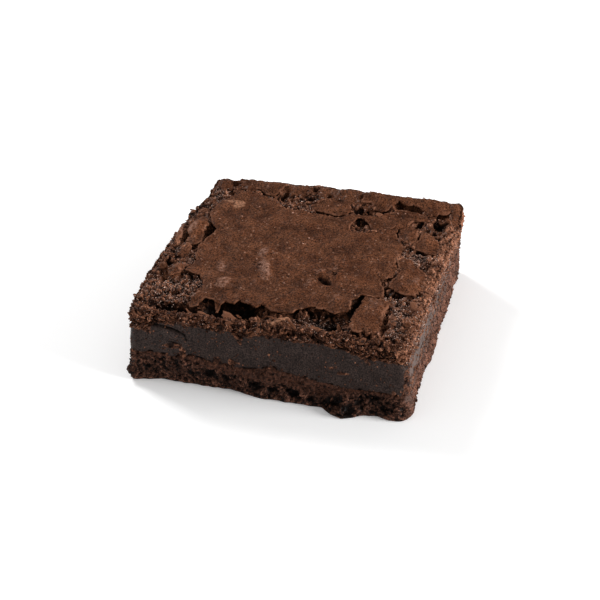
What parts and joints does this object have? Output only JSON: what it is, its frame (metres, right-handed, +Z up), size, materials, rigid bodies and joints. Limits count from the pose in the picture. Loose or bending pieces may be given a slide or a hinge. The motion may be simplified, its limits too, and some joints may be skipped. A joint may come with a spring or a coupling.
{
  "type": "brownie",
  "caption": "Square-cut chocolate brownie with a crumbly base, a thick fudge layer and a cake top under a cracked papery crust.",
  "frame": {"origin": "middle of the plan outline, on the flat underside", "axes": "+Z up through the layers, +X to the right along the cut front face, +Y to the back"},
  "size_m": [0.0787, 0.086, 0.0234],
  "materials": {
    "base_cake": "coarse dark crumb",
    "fudge_layer": "dense smooth cut fudge",
    "top_cake": "thin papery crust over dark crumb"
  },
  "bodies": {
    "root": {"base_cake": "base_cake", "fudge_layer": "fudge_layer", "top_cake": "top_cake"}
  },
  "joints": []
}
